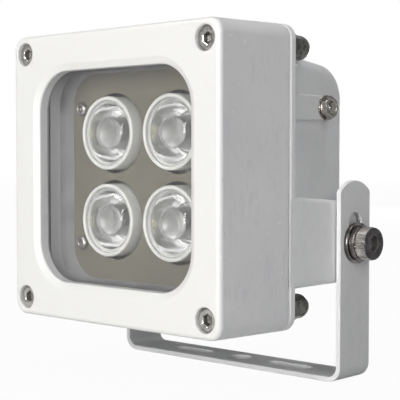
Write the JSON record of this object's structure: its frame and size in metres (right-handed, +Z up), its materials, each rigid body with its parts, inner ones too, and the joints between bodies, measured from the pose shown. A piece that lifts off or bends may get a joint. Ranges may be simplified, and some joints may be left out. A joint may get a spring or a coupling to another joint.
{
  "type": "white light illuminator",
  "caption": "Square cast lamp with a glass window over lens barrels, on pivot bolts in a slotted U-shaped strap bracket that it tilts in.",
  "frame": {"origin": "centre of the bracket's underside, on the axis of its middle hole", "axes": "+Z up from the surface the bracket is bolted to; the lamp shines towards -Y; X runs across the two arms, with the earth stud's boss on the +X side"},
  "size_m": [0.1366, 0.11, 0.1364],
  "materials": {
    "bracket_paint": "satin",
    "housing_paint": "satin",
    "casting_paint": "satin",
    "black_rubber": "matte",
    "grey_rubber": "matte",
    "window_glass": "gloss",
    "frame_metal": "satin",
    "mask_metal": "satin",
    "small_screw_steel": "satin",
    "led_board": "satin",
    "heat_plate_metal": "satin",
    "corner_screw_steel": "satin",
    "corner_nut_steel": "satin",
    "earth_steel": "satin",
    "pivot_steel": "satin",
    "washer_steel": "satin",
    "driver_board": "satin",
    "capacitor_sleeve": "gloss",
    "choke_tape": "satin",
    "black_plastic": "satin",
    "terminal_plastic": "satin",
    "gland_plastic": "satin",
    "holder_plastic": "satin",
    "lens_clear": "gloss",
    "emitter_phosphor": "satin"
  },
  "bodies": {
    "yoke": {"bracket": "bracket_paint"},
    "pivots": {"pivot_bolt_left": "pivot_steel", "pivot_bolt_right": "pivot_steel", "spring_washer_left": "washer_steel", "spring_washer_right": "washer_steel", "flat_washer_left": "washer_steel", "flat_washer_right": "washer_steel"},
    "lamp": {"front_housing": "housing_paint", "rear_casting": "casting_paint", "window_gasket": "grey_rubber", "rear_gasket": "grey_rubber", "window_glass": "window_glass", "glass_frame": "frame_metal", "mask_plate": "mask_metal", "mask_screws": "small_screw_steel", "standoffs": "small_screw_steel", "led_board": "led_board", "heat_plate": "heat_plate_metal", "heat_plate_screws": "small_screw_steel", "corner_screws": "corner_screw_steel", "corner_washers": "corner_nut_steel", "corner_nuts": "corner_nut_steel", "earth_stud": "earth_steel", "earth_washer": "earth_steel", "earth_nut": "earth_steel", "driver_board": "driver_board", "driver_screws": "small_screw_steel", "driver_capacitors": "capacitor_sleeve", "driver_choke": "choke_tape", "driver_bridge": "black_plastic", "terminal_block": "terminal_plastic", "gland_body": "gland_plastic", "gland_locknut": "gland_plastic", "gland_cap": "gland_plastic", "gland_seal": "black_rubber", "lens_holder_upper_left": "holder_plastic", "lens_upper_left": "lens_clear", "emitter_upper_left": "emitter_phosphor", "lens_holder_upper_right": "holder_plastic", "lens_upper_right": "lens_clear", "emitter_upper_right": "emitter_phosphor", "lens_holder_lower_left": "holder_plastic", "lens_lower_left": "lens_clear", "emitter_lower_left": "emitter_phosphor", "lens_holder_lower_right": "holder_plastic", "lens_lower_right": "lens_clear", "emitter_lower_right": "emitter_phosphor"}
  },
  "joints": [
    {"name": "slot_height", "type": "slide", "parent": "yoke", "child": "pivots", "axis": [0, 0, 1], "range_m": [0, 0.0075]},
    {"name": "tilt", "type": "hinge", "parent": "pivots", "child": "lamp", "pos_m": [0, 0, 0.054], "axis": [1, 0, 0], "range_deg": [-150, 40]}
  ]
}
